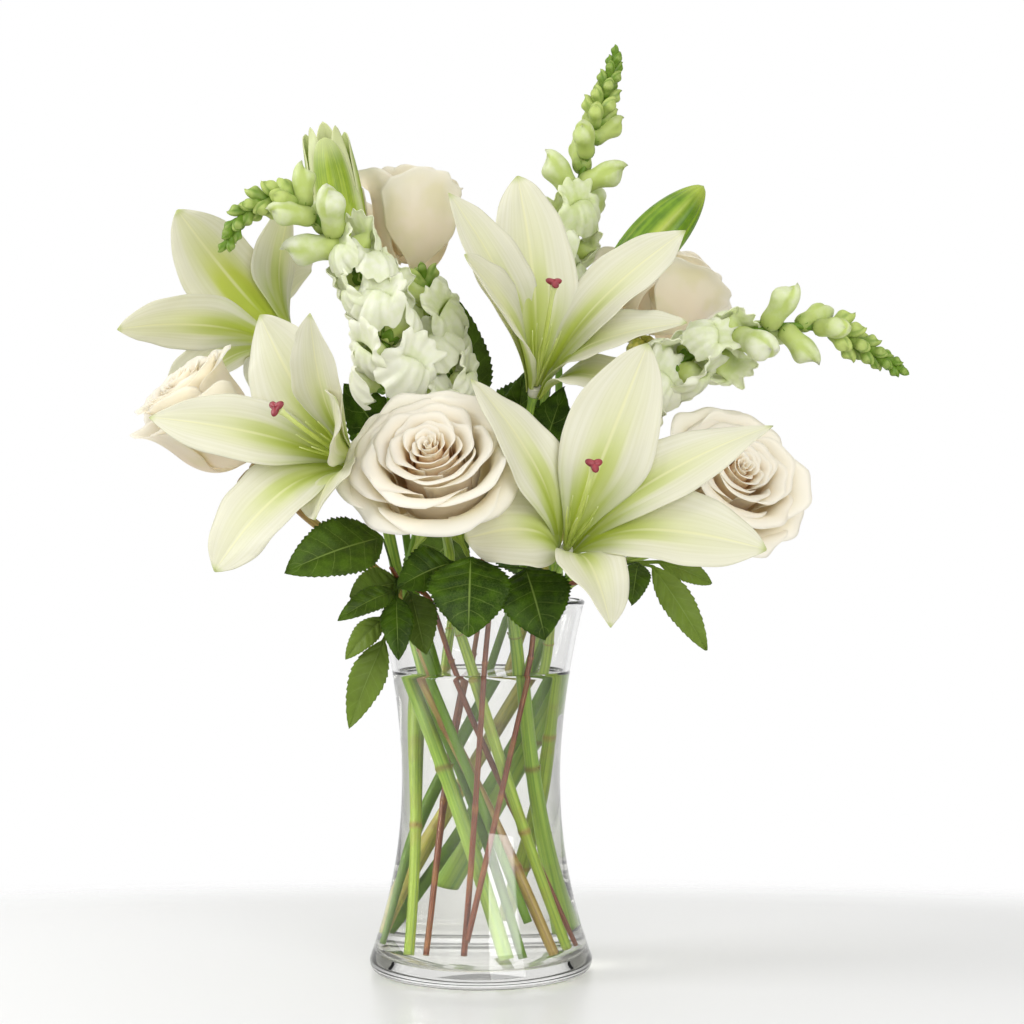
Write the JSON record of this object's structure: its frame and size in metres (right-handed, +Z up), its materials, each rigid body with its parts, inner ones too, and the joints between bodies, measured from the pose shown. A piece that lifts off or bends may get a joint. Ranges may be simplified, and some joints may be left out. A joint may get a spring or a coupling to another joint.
{
  "type": "lilies in a vase",
  "caption": "Cut flower arrangement: white lilies with cream roses, white snapdragons and leafy branches in a clear flared glass vase of water.",
  "frame": {"origin": "centre of the flat foot of the vase", "axes": "+Z up along the vase's axis, -Y towards the front of the arrangement, +X to its right seen from the front"},
  "size_m": [0.434, 0.2987, 0.5175],
  "materials": {
    "vase_glass": "polished clear",
    "vase_water": "clear and still",
    "lily_petal": "soft satin petal",
    "lily_pistil": "waxy",
    "lily_stigma": "sticky sheen",
    "lily_bud": "waxy satin",
    "lily_stem": "satin green",
    "rose_petal": "velvety matte petal",
    "rose_stem": "satin green",
    "snapdragon": "soft matte",
    "leaf": "glossy leaf"
  },
  "bodies": {
    "root": {"vase": "vase_glass", "water": "vase_water", "lily_front_petals": "lily_petal", "lily_front_pistil": "lily_pistil", "lily_front_stigma": "lily_stigma", "lily_top_petals": "lily_petal", "lily_top_pistil": "lily_pistil", "lily_top_stigma": "lily_stigma", "lily_left_petals": "lily_petal", "lily_left_pistil": "lily_pistil", "lily_left_stigma": "lily_stigma", "lily_back_petals": "lily_petal", "lily_back_pistil": "lily_pistil", "lily_back_stigma": "lily_stigma", "lily_bud_green": "lily_bud", "lily_bud_opening": "lily_bud", "lily_stem_front": "lily_stem", "lily_stem_top": "lily_stem", "lily_stem_left": "lily_stem", "rose_front_petals": "rose_petal", "rose_front_stem": "rose_stem", "rose_left_petals": "rose_petal", "rose_left_stem": "rose_stem", "rose_back_left_petals": "rose_petal", "rose_back_left_stem": "rose_stem", "rose_back_right_petals": "rose_petal", "rose_back_right_stem": "rose_stem", "rose_right_petals": "rose_petal", "rose_right_stem": "rose_stem", "snapdragon_top": "snapdragon", "snapdragon_left": "snapdragon", "snapdragon_right": "snapdragon", "snapdragon_middle": "snapdragon", "branch_left": "leaf", "branch_centre": "leaf", "branch_right": "leaf", "branch_back": "leaf"}
  },
  "joints": []
}
